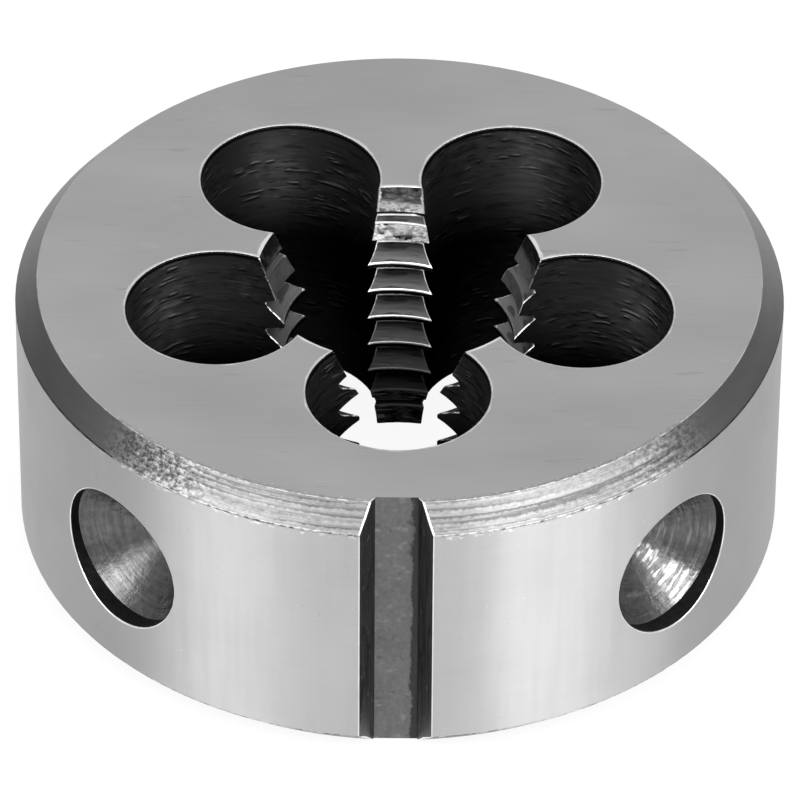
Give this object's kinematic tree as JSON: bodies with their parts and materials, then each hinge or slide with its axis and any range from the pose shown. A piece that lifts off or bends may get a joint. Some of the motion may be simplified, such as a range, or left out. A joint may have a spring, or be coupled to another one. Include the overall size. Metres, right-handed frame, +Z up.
{
  "type": "round threading die",
  "caption": "Solid round disc with a threaded bore, open chip holes round it, a V-groove and conical screw recesses in the rim, for cutting outside threads.",
  "frame": {"origin": "on the thread's axis, at the bottom face", "axes": "+Z up along the thread's axis, out of the top face; -Y out through the middle of the rim's V-groove"},
  "size_m": [0.045, 0.0449, 0.018],
  "materials": {
    "tool_steel": "ground faces and rim, turned chamfers, dark drilled holes"
  },
  "bodies": {
    "root": {"die_body": "tool_steel"}
  },
  "joints": []
}
